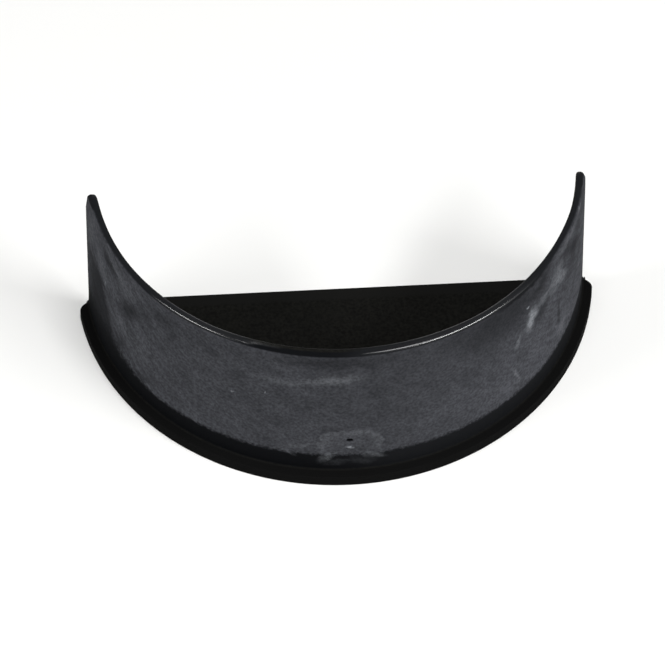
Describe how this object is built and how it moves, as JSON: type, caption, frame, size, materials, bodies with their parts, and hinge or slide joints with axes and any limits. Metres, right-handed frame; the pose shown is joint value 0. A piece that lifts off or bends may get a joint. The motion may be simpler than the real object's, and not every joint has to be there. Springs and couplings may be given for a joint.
{
  "type": "gutter end cap",
  "caption": "Half-round end cap for a plastic rain gutter: a flat end plate with a narrow flange and a thin curved spigot wall that pushes into the open end of the gutter and closes it.",
  "frame": {"origin": "on the gutter's axis, in the plane of the end plate's outer face", "axes": "+Z along the gutter's axis, from the end plate into the gutter; +X across the gutter, along the straight top edge; +Y towards the open top of the gutter"},
  "size_m": [0.1116, 0.0512, 0.0415],
  "materials": {
    "black_plastic": "satin black, as moulded, with light scuffs"
  },
  "bodies": {
    "root": {"end_cap": "black_plastic"}
  },
  "joints": []
}
